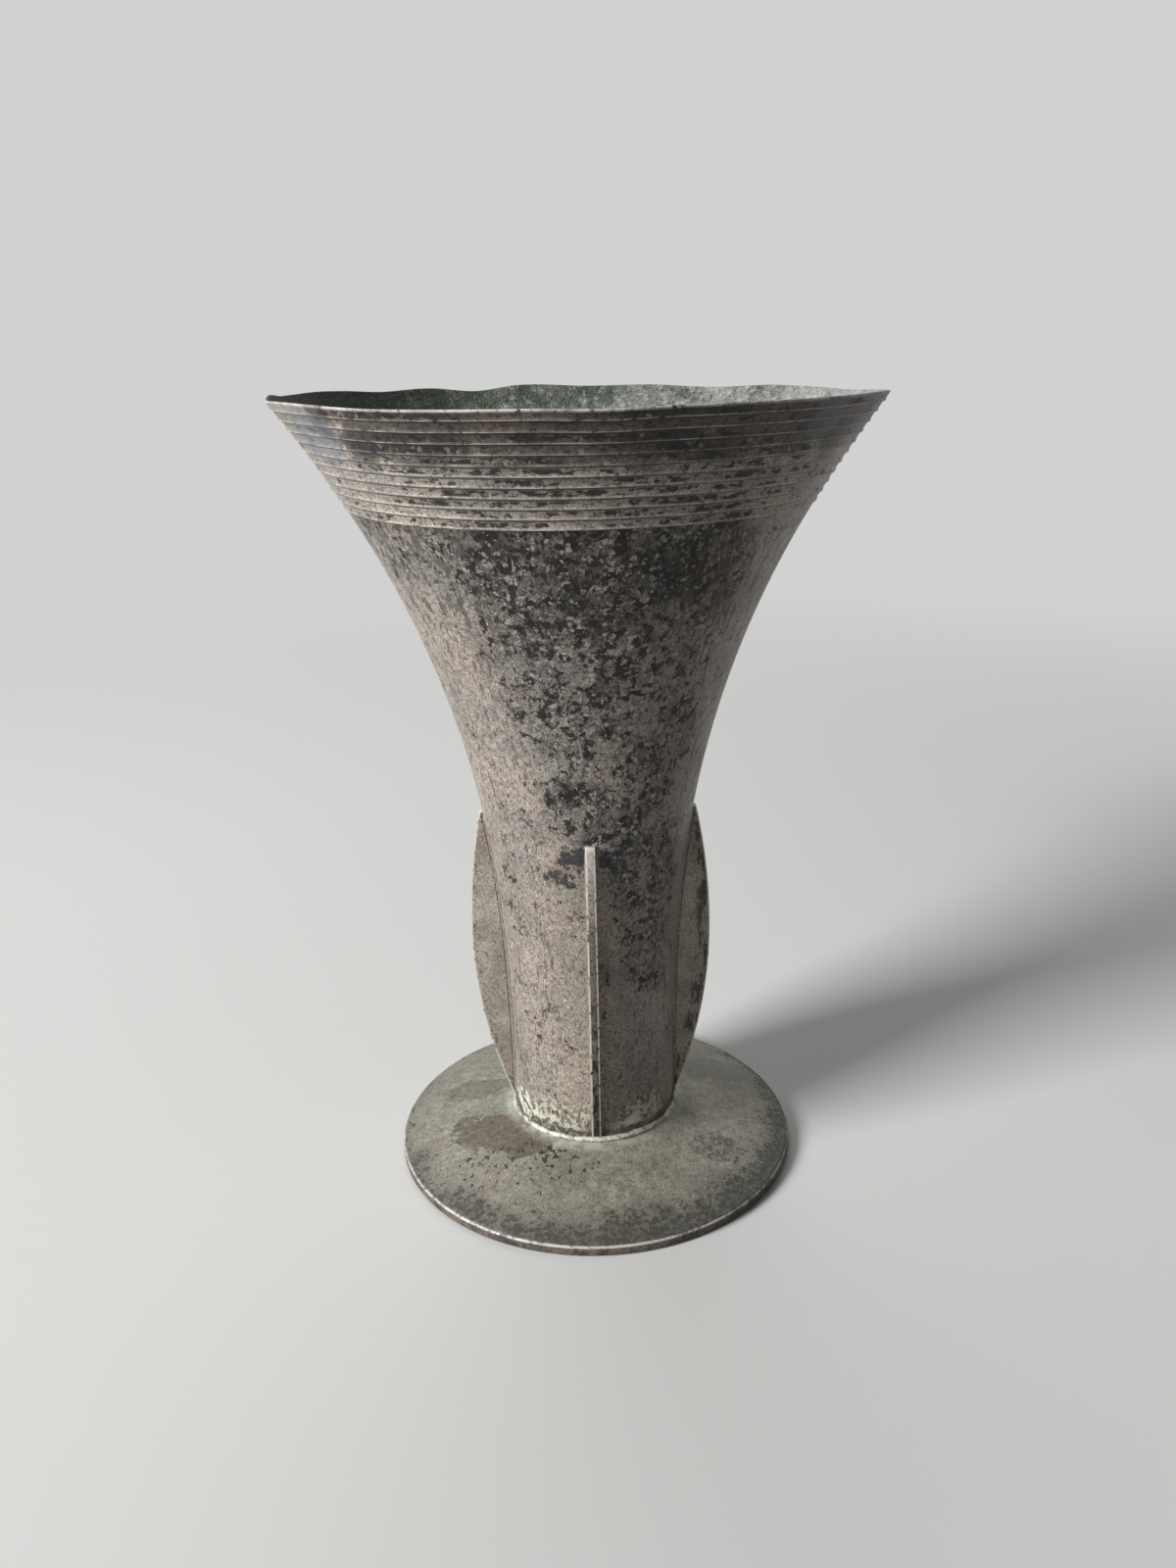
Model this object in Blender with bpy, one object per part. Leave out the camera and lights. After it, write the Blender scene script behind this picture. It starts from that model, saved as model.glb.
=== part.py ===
# A silver-plated trumpet vase: a flared shell with stepped rings under the rim, set into a low
# round foot, with four crescent fins soldered up the barrel.
# Metres, +Z up. The origin is the middle of the base, on the surface that the vase stands on.
# One fin stands at each of -Y (front), +X (right), +Y (back) and -X (left).
import bpy
import bmesh
from math import cos, exp, pi, sin, sqrt

# Flared shell
VASE_HEIGHT = 0.250
RIM_RADIUS = 0.0890
BARREL_RADIUS = 0.0272
FLARE_POWER = 2.85
SHELL_THICKNESS = 0.0010
RIM_ROUNDING = 0.0003

# Stepped rings under the rim, each one a band that leans out to a lip at its lower edge
RING_COUNT = 11
RING_PITCH = 0.00273
RING_LIP = 0.00040
RING_LIP_DROP = 0.00040

# Foot
FOOT_RADIUS = 0.0673
FOOT_EDGE_HEIGHT = 0.0035
FOOT_EDGE_WIDTH = 0.0030
FOOT_TOP_ROUNDING = 0.0008
FOOT_BASE_ROUNDING = 0.0006
FOOT_NECK_HEIGHT = 0.0142
FOOT_CROWN = 0.0008
FOOT_SWEEP_RISE = 0.0013
FOOT_SWEEP_LENGTH = 0.0025
FOOT_THICKNESS = 0.0012

# The shell's tail goes down through the foot, and a disc closes it
TAIL_LENGTH = 0.0024
FLOOR_THICKNESS = 0.0012
FLOOR_RECESS = 0.0004

# Crescent fins
FIN_COUNT = 4
FIN_THICKNESS = 0.0030
FIN_REACH = 0.0125
FIN_BELLY_HEIGHT = 0.0780
FIN_TOP_HEIGHT = 0.1215
FIN_TOP_WIDTH = 0.0010
FIN_FOOT_WIDTH = 0.0005
FIN_TOP_ROUNDING = 0.0007
FIN_EDGE_BEVEL = 0.0004

# Solder
FOOT_SOLDER_LEG = 0.0013
FLOOR_SOLDER_LEG = 0.0012
FIN_SOLDER_LEG = 0.0010
SOLDER_TOE = 0.2
SOLDER_HOLLOW = 0.36
SOLDER_FIN_SHARE = 0.7

# Room left between a piece and what it is soldered to
SEAT_GAP = 0.0003

# Faces on the round pieces
TURN_STEPS = 60
FLARE_STEPS = 13
LINING_STEPS = 16
FOOT_STEPS = 9
ARC_STEPS = 3
FIN_STEPS = 12
SOLDER_STEPS = 13

SMOOTH_ANGLE = pi / 7

FLARE_HEIGHT = VASE_HEIGHT - FOOT_NECK_HEIGHT
TAIL_HEIGHT = FOOT_NECK_HEIGHT - TAIL_LENGTH
RINGS_BASE_HEIGHT = VASE_HEIGHT - RING_COUNT * RING_PITCH
NECK_RADIUS = BARREL_RADIUS + SEAT_GAP
FOOT_SOLDER_TOP = FOOT_NECK_HEIGHT + SEAT_GAP + FOOT_SOLDER_LEG
FIN_FOOT_HEIGHT = FOOT_SOLDER_TOP + SEAT_GAP
FLOOR_BASE_HEIGHT = TAIL_HEIGHT + FLOOR_RECESS
FLOOR_TOP_HEIGHT = FLOOR_BASE_HEIGHT + FLOOR_THICKNESS


def spaced(start, end, steps):
    """Evenly spaced numbers from start to end, both included."""
    return [start + (end - start) * i / steps for i in range(steps + 1)]


def arc(centre_r, centre_z, radius, start, end, steps=ARC_STEPS):
    """Points along an arc in the radius-height plane, between two angles."""
    angles = spaced(start, end, steps)
    return [(centre_r + radius * cos(a), centre_z + radius * sin(a)) for a in angles]


def flare_radius(height):
    """Outer radius of the plain shell: a barrel that opens along a power curve."""
    rise = max(height - FOOT_NECK_HEIGHT, 0.0) / FLARE_HEIGHT
    return BARREL_RADIUS + (RIM_RADIUS - BARREL_RADIUS) * rise ** FLARE_POWER


def flare_slope(height):
    """How fast the shell's radius grows with height."""
    rise = max(height - FOOT_NECK_HEIGHT, 0.0) / FLARE_HEIGHT
    return (RIM_RADIUS - BARREL_RADIUS) * FLARE_POWER * rise ** (FLARE_POWER - 1) / FLARE_HEIGHT


def flare_offset(height, distance):
    """Radius of a line that runs a set distance outside the shell, square to its wall."""
    return flare_radius(height) + distance * sqrt(1 + flare_slope(height) ** 2)


def foot_top(radius):
    """Height of the foot's upper side: a crowned cone that sweeps up to the shell."""
    inward = (FOOT_RADIUS - radius) / (FOOT_RADIUS - NECK_RADIUS)
    cone = (FOOT_NECK_HEIGHT - FOOT_EDGE_HEIGHT - FOOT_SWEEP_RISE) * inward
    crown = 4 * FOOT_CROWN * inward * (1 - inward)
    sweep = FOOT_SWEEP_RISE * exp((NECK_RADIUS - radius) / FOOT_SWEEP_LENGTH)
    return FOOT_EDGE_HEIGHT + cone + crown + sweep


def fin_arc_radius(end_height, end_radius):
    """Radius of the arc that stands upright at the fin's belly and passes through an end."""
    rise = end_height - FIN_BELLY_HEIGHT
    depth = BARREL_RADIUS + FIN_REACH - end_radius
    return (rise ** 2 + depth ** 2) / (2 * depth)


def fin_root(height):
    """Radius of the fin's inner edge, which follows the shell."""
    return flare_offset(height, SEAT_GAP)


def fin_edge(height):
    """Radius of the fin's outer edge: one arc below the belly and a flatter one above."""
    if height < FIN_BELLY_HEIGHT:
        end_height, end_width = FIN_FOOT_HEIGHT, FIN_FOOT_WIDTH
    else:
        end_height, end_width = FIN_TOP_HEIGHT, FIN_TOP_WIDTH
    bend = fin_arc_radius(end_height, fin_root(end_height) + end_width)
    drop = bend - sqrt(bend ** 2 - (height - FIN_BELLY_HEIGHT) ** 2)
    return BARREL_RADIUS + FIN_REACH - drop


def shell_profile():
    """Section of the shell: rim, stepped rings, flare and tail, then the lining back up."""
    shoulder = VASE_HEIGHT - RIM_ROUNDING
    points = [(RIM_RADIUS - RIM_ROUNDING, VASE_HEIGHT), (RIM_RADIUS, shoulder)]
    for ring in range(1, RING_COUNT + 1):
        lip_height = VASE_HEIGHT - ring * RING_PITCH
        foot_of_lip = lip_height - RING_LIP_DROP
        points.append((flare_radius(lip_height) + RING_LIP, lip_height))
        points.append((flare_radius(foot_of_lip), foot_of_lip))
    flare = spaced(RINGS_BASE_HEIGHT - RING_LIP_DROP, FOOT_NECK_HEIGHT, FLARE_STEPS)
    points += [(flare_radius(z), z) for z in flare[1:]]
    points.append((BARREL_RADIUS, TAIL_HEIGHT))
    lining = spaced(TAIL_HEIGHT, shoulder, LINING_STEPS)
    points += [(flare_offset(z, -SHELL_THICKNESS), z) for z in lining]
    points.append((flare_offset(VASE_HEIGHT, -SHELL_THICKNESS) + RIM_ROUNDING, VASE_HEIGHT))
    return points


def foot_profile():
    """Section of the foot: upper side, rounded edge, flat base ring and hollow underside."""
    edge_start = FOOT_RADIUS - FOOT_TOP_ROUNDING
    points = [(r, foot_top(r)) for r in foot_radii(edge_start)]
    points += arc(edge_start, FOOT_EDGE_HEIGHT - FOOT_TOP_ROUNDING, FOOT_TOP_ROUNDING, pi / 2, 0)
    base_start = FOOT_RADIUS - FOOT_BASE_ROUNDING
    points += arc(base_start, FOOT_BASE_ROUNDING, FOOT_BASE_ROUNDING, 0, -pi / 2)
    hollow_radius = FOOT_RADIUS - FOOT_EDGE_WIDTH
    points.append((hollow_radius, 0.0))
    under = [(r, foot_top(r) - FOOT_THICKNESS) for r in foot_radii(hollow_radius)]
    return points + under[::-1]


def foot_radii(outer):
    """Radii along the foot, closer together where it sweeps up to the shell."""
    return [NECK_RADIUS + (outer - NECK_RADIUS) * t ** 1.6 for t in spaced(0, 1, FOOT_STEPS)]


def floor_profile():
    """Section of the disc that closes the shell's tail."""
    radius = BARREL_RADIUS - SHELL_THICKNESS - SEAT_GAP
    return [(0.0, FLOOR_TOP_HEIGHT), (radius, FLOOR_TOP_HEIGHT),
            (radius, FLOOR_BASE_HEIGHT), (0.0, FLOOR_BASE_HEIGHT)]


def foot_solder_profile():
    """Section of the solder ring in the corner between the foot and the shell."""
    toe = FOOT_SOLDER_LEG * SOLDER_TOE
    hollow = FOOT_SOLDER_LEG * SOLDER_HOLLOW
    bed = [(r, foot_top(r) + SEAT_GAP) for r in spaced(NECK_RADIUS, NECK_RADIUS + FOOT_SOLDER_LEG, 2)]
    outer_radius, outer_height = bed[-1]
    points = [(NECK_RADIUS, FOOT_SOLDER_TOP), (NECK_RADIUS + toe, FOOT_SOLDER_TOP)]
    points.append((NECK_RADIUS + hollow, foot_top(NECK_RADIUS + hollow) + SEAT_GAP + hollow))
    points.append((outer_radius, outer_height + toe))
    return points + bed[::-1]


def floor_solder_profile():
    """Section of the solder ring in the corner between the floor disc and the shell."""
    corner_radius = BARREL_RADIUS - SHELL_THICKNESS - SEAT_GAP
    corner_height = FLOOR_TOP_HEIGHT + SEAT_GAP
    leg = FLOOR_SOLDER_LEG
    toe = leg * SOLDER_TOE
    hollow = leg * SOLDER_HOLLOW
    return [(corner_radius - toe, corner_height + leg), (corner_radius, corner_height + leg),
            (corner_radius, corner_height), (corner_radius - leg, corner_height),
            (corner_radius - leg, corner_height + toe),
            (corner_radius - hollow, corner_height + hollow)]


def fin_outline():
    """The crescent's outer edge from its foot to its rounded top, then its root back down."""
    round_start = FIN_TOP_HEIGHT - FIN_TOP_ROUNDING
    edge = [(fin_edge(z), z) for z in spaced(FIN_FOOT_HEIGHT, FIN_BELLY_HEIGHT, FIN_STEPS)]
    edge += [(fin_edge(z), z) for z in spaced(FIN_BELLY_HEIGHT, round_start, FIN_STEPS)[1:]]
    corner_radius = fin_edge(round_start) - FIN_TOP_ROUNDING
    edge += arc(corner_radius, round_start, FIN_TOP_ROUNDING, 0, pi / 2)[1:]
    root = [(fin_root(z), z) for z in spaced(FIN_TOP_HEIGHT, FIN_FOOT_HEIGHT, FIN_STEPS)]
    return edge, root


def fin_solder_section(height, side):
    """Level section of the solder strip on one side of a fin, as (outward, sideways, height)."""
    leg = min(FIN_SOLDER_LEG, SOLDER_FIN_SHARE * (fin_edge(height) - fin_root(height)))
    toe = leg * SOLDER_TOE
    hollow = leg * SOLDER_HOLLOW
    inner = FIN_THICKNESS / 2 + SEAT_GAP
    wall = flare_offset(height, SEAT_GAP)

    def at(out, across):
        return (sqrt(wall ** 2 - (inner + across) ** 2) + out, side * (inner + across), height)

    return [at(0, 0), at(0, leg), at(toe, leg), at(hollow, hollow), at(leg, toe), at(leg, 0)]


def finish(mesh_build, name):
    """Turns built geometry into a closed, outward-facing mesh that is smooth where it is round."""
    bmesh.ops.recalc_face_normals(mesh_build, faces=mesh_build.faces)
    mesh = bpy.data.meshes.new(name)
    mesh_build.to_mesh(mesh)
    mesh_build.free()
    mesh.shade_smooth()
    mesh.set_sharp_from_angle(angle=SMOOTH_ANGLE)
    return mesh


def turned(name, profile):
    """A piece turned about the vase's axis from a closed section."""
    build = bmesh.new()
    corners = [build.verts.new((r, 0.0, z)) for r, z in profile]
    ends = zip(corners, corners[1:] + corners[:1])
    sides = [build.edges.new(pair) for pair in ends if pair[0].co.x + pair[1].co.x > 0]
    bmesh.ops.spin(build, geom=corners + sides, axis=(0, 0, 1), cent=(0, 0, 0),
                   angle=2 * pi, steps=TURN_STEPS, use_merge=True)
    bmesh.ops.remove_doubles(build, verts=build.verts, dist=1e-6)
    return finish(build, name)


def fin_mesh():
    """A crescent plate with its outer arrises eased."""
    edge, root = fin_outline()
    build = bmesh.new()
    half = FIN_THICKNESS / 2
    corners = [build.verts.new((r, -half, z)) for r, z in edge + root]
    plate = build.faces.new(corners)
    pushed = bmesh.ops.extrude_face_region(build, geom=[plate], use_keep_orig=True)["geom"]
    moved = [item for item in pushed if isinstance(item, bmesh.types.BMVert)]
    bmesh.ops.translate(build, verts=moved, vec=(0, FIN_THICKNESS, 0))
    arrises = []
    for line in build.edges:
        low, high = (v.co for v in line.verts)
        along = abs(low.y - high.y) < half
        outside = all(p.x > fin_root(p.z) + FIN_FOOT_WIDTH / 2 for p in (low, high))
        if along and outside:
            arrises.append(line)
    bmesh.ops.bevel(build, geom=arrises, offset=FIN_EDGE_BEVEL, segments=2, affect="EDGES",
                    profile=0.5, clamp_overlap=True)
    return finish(build, "fin")


def fin_solder_mesh(side):
    """A strip of solder lofted up one side of a fin's root."""
    build = bmesh.new()
    rows = []
    for height in spaced(FIN_FOOT_HEIGHT, FIN_TOP_HEIGHT - FIN_TOP_ROUNDING, SOLDER_STEPS):
        rows.append([build.verts.new(point) for point in fin_solder_section(height, side)])
    for low, high in zip(rows, rows[1:]):
        for i in range(len(low)):
            j = (i + 1) % len(low)
            build.faces.new((low[i], low[j], high[j], high[i]))
    build.faces.new(rows[0][::-1])
    build.faces.new(rows[-1])
    return finish(build, "fin_solder")


def finish_material(name, colour, roughness, metallic):
    """A metal finish."""
    material = bpy.data.materials.new(name)
    material.use_nodes = True
    shader = material.node_tree.nodes["Principled BSDF"]
    shader.inputs["Base Color"].default_value = (*colour, 1.0)
    shader.inputs["Roughness"].default_value = roughness
    shader.inputs["Metallic"].default_value = metallic
    return material


def place(name, mesh, material, parent, turn=0.0):
    """Puts a piece into the scene, turned about the vase's axis."""
    piece = bpy.data.objects.new(name, mesh)
    bpy.context.scene.collection.objects.link(piece)
    piece.parent = parent
    piece.rotation_euler.z = turn
    if not mesh.materials:
        mesh.materials.append(material)
    return piece


def build_vase():
    for old in list(bpy.data.objects):
        bpy.data.objects.remove(old, do_unlink=True)

    shell_plate = finish_material("tarnished_silver_plate", (0.47, 0.45, 0.42), 0.46, 0.9)
    foot_plate = finish_material("foot_silver_plate", (0.45, 0.45, 0.41), 0.50, 0.85)
    floor_plate = finish_material("floor_plate", (0.33, 0.38, 0.34), 0.62, 0.7)
    fin_plate = finish_material("fin_silver_plate", (0.50, 0.48, 0.44), 0.44, 0.9)
    solder = finish_material("solder", (0.60, 0.60, 0.57), 0.55, 0.75)

    vase = bpy.data.objects.new("vase", None)
    bpy.context.scene.collection.objects.link(vase)

    place("trumpet_shell", turned("trumpet_shell", shell_profile()), shell_plate, vase)
    place("foot", turned("foot", foot_profile()), foot_plate, vase)
    place("floor_disc", turned("floor_disc", floor_profile()), floor_plate, vase)
    place("foot_solder_ring", turned("foot_solder_ring", foot_solder_profile()), solder, vase)
    place("floor_solder_ring", turned("floor_solder_ring", floor_solder_profile()), solder, vase)

    fin = fin_mesh()
    left_strip = fin_solder_mesh(1)
    right_strip = fin_solder_mesh(-1)
    for i, side in enumerate(("right", "back", "left", "front")):
        turn = 2 * pi * i / FIN_COUNT
        place("fin_" + side, fin, fin_plate, vase, turn)
        place("fin_solder_" + side + "_a", left_strip, solder, vase, turn)
        place("fin_solder_" + side + "_b", right_strip, solder, vase, turn)


build_vase()
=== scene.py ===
from math import atan2, cos, exp, pi, radians, sin, sqrt

import bpy
import numpy as np
from mathutils import Matrix, Vector


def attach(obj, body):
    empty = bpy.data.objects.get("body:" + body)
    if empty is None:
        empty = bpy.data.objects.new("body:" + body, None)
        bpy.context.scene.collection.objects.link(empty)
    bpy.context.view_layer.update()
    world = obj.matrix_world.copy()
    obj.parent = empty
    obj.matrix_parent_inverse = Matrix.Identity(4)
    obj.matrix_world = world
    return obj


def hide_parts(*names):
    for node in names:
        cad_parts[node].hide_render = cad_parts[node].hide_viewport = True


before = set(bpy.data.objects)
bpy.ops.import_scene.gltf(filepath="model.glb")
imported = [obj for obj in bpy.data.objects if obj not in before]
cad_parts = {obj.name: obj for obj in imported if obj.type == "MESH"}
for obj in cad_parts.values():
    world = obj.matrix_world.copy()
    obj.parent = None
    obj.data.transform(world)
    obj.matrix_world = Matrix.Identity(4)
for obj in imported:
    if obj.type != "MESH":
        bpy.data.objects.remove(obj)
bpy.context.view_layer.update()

# A silver-plated trumpet vase, worn and heavily tarnished. Metres, +Z up, front fin at -Y.
MM = 0.001

# Flared shell
VASE_HEIGHT = 0.250
RIM_RADIUS = 0.0890
BARREL_RADIUS = 0.0272
FLARE_POWER = 2.85
SHELL_THICKNESS = 0.0010
RIM_ROUNDING = 0.0004
RING_COUNT = 11
RING_PITCH = 0.00273

# How much of the wall's lean the rounded rim takes on
RIM_LEAN = 0.3

# Foot
FOOT_RADIUS = 0.0673
FOOT_EDGE_HEIGHT = 0.0035
FOOT_EDGE_WIDTH = 0.0030
FOOT_TOP_ROUNDING = 0.0008
FOOT_BASE_ROUNDING = 0.0006
FOOT_NECK_HEIGHT = 0.0142
FOOT_CROWN = 0.0008
FOOT_SWEEP_RISE = 0.0013
FOOT_SWEEP_LENGTH = 0.0025
FOOT_THICKNESS = 0.0012
FOOT_HOLLOW_EDGE = 0.0009
TAIL_LENGTH = 0.0024

# Crescent fins
FIN_THICKNESS = 0.0030
FIN_REACH = 0.0125
FIN_BELLY_HEIGHT = 0.0780
FIN_TOP_HEIGHT = 0.1215
FIN_TOP_WIDTH = 0.0010
FIN_FOOT_WIDTH = 0.0005
FIN_TOP_ROUNDING = 0.0007
FIN_ARRIS = 0.0004
FIN_SINK = 0.0002

# Bead of solder round the foot of the shell
SEAT_GAP = 0.0003
FOOT_SOLDER_LEG = 0.0013
BEAD_RADIUS = 0.00095
BEAD_OUT = 0.00025
BEAD_RISE = 0.0004
BEAD_LUMP_SIZE = 0.004
BEAD_LUMP_HEIGHT = 0.0005

# Strips of solder beside the fins. Their ends and waver are shares of their width, and beats are per row.
STRIP_RADIUS = 0.00060
STRIP_ACROSS = 0.00045
STRIP_OUT = 0.00012
STRIP_END = 0.3
STRIP_WAVER = 0.12
STRIP_BEATS = (2.1, 0.7)
FRONT_STRIP_THINNING = 0.00030
FRONT_STRIP_SHIFT = 0.00040

FLARE_HEIGHT = VASE_HEIGHT - FOOT_NECK_HEIGHT
TAIL_HEIGHT = FOOT_NECK_HEIGHT - TAIL_LENGTH
RINGS_BASE_HEIGHT = VASE_HEIGHT - RING_COUNT * RING_PITCH
NECK_RADIUS = BARREL_RADIUS + SEAT_GAP
FIN_FOOT_HEIGHT = FOOT_NECK_HEIGHT + FOOT_SOLDER_LEG + 2 * SEAT_GAP

# Steps of the fine meshes
SHELL_TURN_STEPS = 288
FOOT_TURN_STEPS = 240
FLARE_ROWS = 56
LINING_ROWS = 40
RIM_STEPS = 8
FOOT_ROWS = 26
FOOT_ROW_CROWDING = 1.5
FIN_ROWS = 34
STRIP_ROWS = 40
SOLDER_SIDES = 14
MERGE_DISTANCE = 0.005 * MM

# The greatest angle between faces that still look smooth
ARRIS_ANGLE = radians(32)
SHELL_ANGLE = radians(50)

# One ring's band from its top to the lip at its lower edge: share of the pitch, then how far it stands out
BAND_SHAPE = ((0.02, 0.0), (0.26, 0.00002), (0.52, 0.00005), (0.72, 0.00011), (0.83, 0.00024),
              (0.90, 0.00038), (0.96, 0.00043), (1.01, 0.00036), (1.05, 0.00018))

# Shares of the pitch: where the plain wall ends, where the rings' plate starts, and where bands begin
WALL_END = 0.08
RING_PLATE_START = 0.1
BAND_START = 0.04
TOP_BAND_START = 0.2

# How the rim has been bent: azimuth in degrees, then its reach along the rim and its rise in millimetres
RIM_WAVES = (
    (-86, 15, 0.90), (-99, 110, 0.80), (-58, 42, 0.70), (4, 20, -0.40), (109, 78, -1.65), (105, 18, -0.30),
    (148, 28, -1.20), (178, 82, -0.90), (190, 22, 0.85), (204, 17, -1.15), (228, 18, -0.75), (247, 19, 0.30),
)

# How near in degrees a vertex of the rim has to be, to be pulled
RIM_GRIP = 0.7

# The sides that the fins stand on, a quarter turn apart
SIDES = ("right", "back", "left", "front")


# The vase's own curves

def spaced(start, end, steps):
    """Evenly spaced numbers from start to end, both included."""
    return [start + (end - start) * i / steps for i in range(steps + 1)]


def arc(centre_r, centre_z, radius, start, end, steps=5):
    """Points along an arc in the radius-height plane."""
    return [(centre_r + radius * cos(a), centre_z + radius * sin(a)) for a in spaced(start, end, steps)]


def flare_radius(height):
    """Outer radius of the plain shell."""
    rise = max(height - FOOT_NECK_HEIGHT, 0.0) / FLARE_HEIGHT
    return BARREL_RADIUS + (RIM_RADIUS - BARREL_RADIUS) * rise ** FLARE_POWER


def flare_slope(height):
    """How fast the shell's radius grows with height."""
    rise = max(height - FOOT_NECK_HEIGHT, 0.0) / FLARE_HEIGHT
    return (RIM_RADIUS - BARREL_RADIUS) * FLARE_POWER * rise ** (FLARE_POWER - 1) / FLARE_HEIGHT


def flare_offset(height, distance):
    """Radius of a line that runs a set distance outside the shell, square to its wall."""
    return flare_radius(height) + distance * sqrt(1 + flare_slope(height) ** 2)


def foot_top(radius):
    """Height of the foot's upper side."""
    inward = (FOOT_RADIUS - radius) / (FOOT_RADIUS - NECK_RADIUS)
    cone = (FOOT_NECK_HEIGHT - FOOT_EDGE_HEIGHT - FOOT_SWEEP_RISE) * inward
    crown = 4 * FOOT_CROWN * inward * (1 - inward)
    sweep = FOOT_SWEEP_RISE * exp((NECK_RADIUS - radius) / FOOT_SWEEP_LENGTH)
    return FOOT_EDGE_HEIGHT + cone + crown + sweep


def fin_bend(end_height, end_radius):
    """Radius of the arc that stands upright at the fin's belly and passes through an end."""
    depth = BARREL_RADIUS + FIN_REACH - end_radius
    return ((end_height - FIN_BELLY_HEIGHT) ** 2 + depth ** 2) / (2 * depth)


FIN_LOWER_BEND = fin_bend(FIN_FOOT_HEIGHT, flare_offset(FIN_FOOT_HEIGHT, SEAT_GAP) + FIN_FOOT_WIDTH)
FIN_UPPER_BEND = fin_bend(FIN_TOP_HEIGHT, flare_offset(FIN_TOP_HEIGHT, SEAT_GAP) + FIN_TOP_WIDTH)


def fin_edge(height):
    """Radius of the fin's outer edge."""
    bend = FIN_LOWER_BEND if height < FIN_BELLY_HEIGHT else FIN_UPPER_BEND
    return BARREL_RADIUS + FIN_REACH - bend + sqrt(bend ** 2 - (height - FIN_BELLY_HEIGHT) ** 2)


# Working on a mesh by hand

def deselect_all():
    bpy.ops.object.select_all(action="DESELECT")


def take(piece):
    """Makes a piece the one being worked on."""
    deselect_all()
    piece.select_set(True)
    bpy.context.view_layer.objects.active = piece


def edit(piece):
    """Goes into edit mode with all of a piece selected."""
    take(piece)
    bpy.ops.object.mode_set(mode="EDIT")
    bpy.ops.mesh.select_all(action="SELECT")


def leave():
    bpy.ops.object.mode_set(mode="OBJECT")


def fix_in_place():
    """Makes the piece's place, turn and scale part of its mesh."""
    bpy.ops.object.transform_apply(location=True, rotation=True, scale=True)


def corners_of(piece):
    """The places of a mesh's vertices."""
    places = np.zeros(len(piece.data.vertices) * 3)
    piece.data.vertices.foreach_get("co", places)
    return places.reshape(-1, 3)


def pick(piece, parts, chosen, kind="VERT"):
    """Selects the chosen ones of a mesh's vertices or edges, and goes into edit mode."""
    edit(piece)
    bpy.ops.mesh.select_mode(type=kind)
    bpy.ops.mesh.select_all(action="DESELECT")
    leave()
    parts.foreach_set("select", np.asarray(chosen, dtype=bool))
    bpy.ops.object.mode_set(mode="EDIT")


def draw_outline(name, outline):
    """A closed outline, drawn one corner after another."""
    deselect_all()
    bpy.ops.mesh.primitive_plane_add(size=MM)
    piece = bpy.context.object
    piece.name = piece.data.name = name
    edit(piece)
    bpy.ops.mesh.merge(type="CENTER")
    bpy.ops.transform.translate(value=outline[0])
    for here, there in zip(outline, outline[1:]):
        step = [b - a for a, b in zip(here, there)]
        bpy.ops.mesh.extrude_vertices_move(TRANSFORM_OT_translate={"value": step})
    leave()
    ends = np.zeros(len(outline), dtype=bool)
    ends[[0, -1]] = True
    pick(piece, piece.data.vertices, ends)
    bpy.ops.mesh.edge_face_add()
    leave()
    return piece


def clean_up():
    """Merges doubles and points the faces outwards. Called in edit mode."""
    bpy.ops.mesh.select_all(action="SELECT")
    bpy.ops.mesh.remove_doubles(threshold=MERGE_DISTANCE)
    bpy.ops.mesh.normals_make_consistent(inside=False)


def turn(name, section, steps):
    """A piece turned about the vase's axis from a closed section of (radius, height) points."""
    piece = draw_outline(name, [(r, 0.0, z) for r, z in section])
    edit(piece)
    bpy.ops.mesh.spin(steps=steps, angle=2 * pi, center=(0, 0, 0), axis=(0, 0, 1), use_auto_merge=True)
    clean_up()
    leave()
    return piece


def turned_copy(piece, name, quarter, flip=1):
    """A copy of a piece, turned about the vase by quarters, and mirrored first where flip is -1."""
    take(piece)
    bpy.ops.object.duplicate(linked=False)
    copy = bpy.context.object
    copy.name = copy.data.name = name
    copy.scale.y = flip
    copy.rotation_euler.z = quarter * pi / 2
    fix_in_place()
    return copy


def finish_piece(piece, node, angle=ARRIS_ANGLE):
    """Smooths the shading, and puts the piece in the place of its CAD node."""
    take(piece)
    bpy.ops.object.shade_smooth_by_angle(angle=angle)
    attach(piece, "root")
    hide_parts(node)


# Shell

def shell_section():
    """Barrel and flare upwards, the stepped rings, the rounded rim, then the lining down."""
    points = [(BARREL_RADIUS, z) for z in spaced(TAIL_HEIGHT, FOOT_NECK_HEIGHT, 2)]
    wall_end = RINGS_BASE_HEIGHT - WALL_END * RING_PITCH
    points += [(flare_radius(z), z) for z in spaced(FOOT_NECK_HEIGHT, wall_end, FLARE_ROWS)[1:]]
    for ring in range(RING_COUNT, 0, -1):
        for share, proud in reversed(BAND_SHAPE):
            z = VASE_HEIGHT - RING_PITCH * (ring - 1 + share)
            if ring > 1 or share > TOP_BAND_START:
                points.append((flare_offset(z, proud), z))
    shoulder = VASE_HEIGHT - RIM_ROUNDING
    middle = flare_offset(shoulder, -SHELL_THICKNESS / 2)
    half = flare_radius(shoulder) - middle
    lean = RIM_LEAN * sin(atan2(flare_slope(VASE_HEIGHT), 1))
    for a in spaced(0, pi, RIM_STEPS):
        points.append((middle + half * (cos(a) + lean * sin(a)), shoulder + RIM_ROUNDING * sin(a)))
    lining = spaced(shoulder, TAIL_HEIGHT, LINING_ROWS)[1:]
    return points + [(flare_offset(z, -SHELL_THICKNESS), z) for z in lining]


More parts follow.
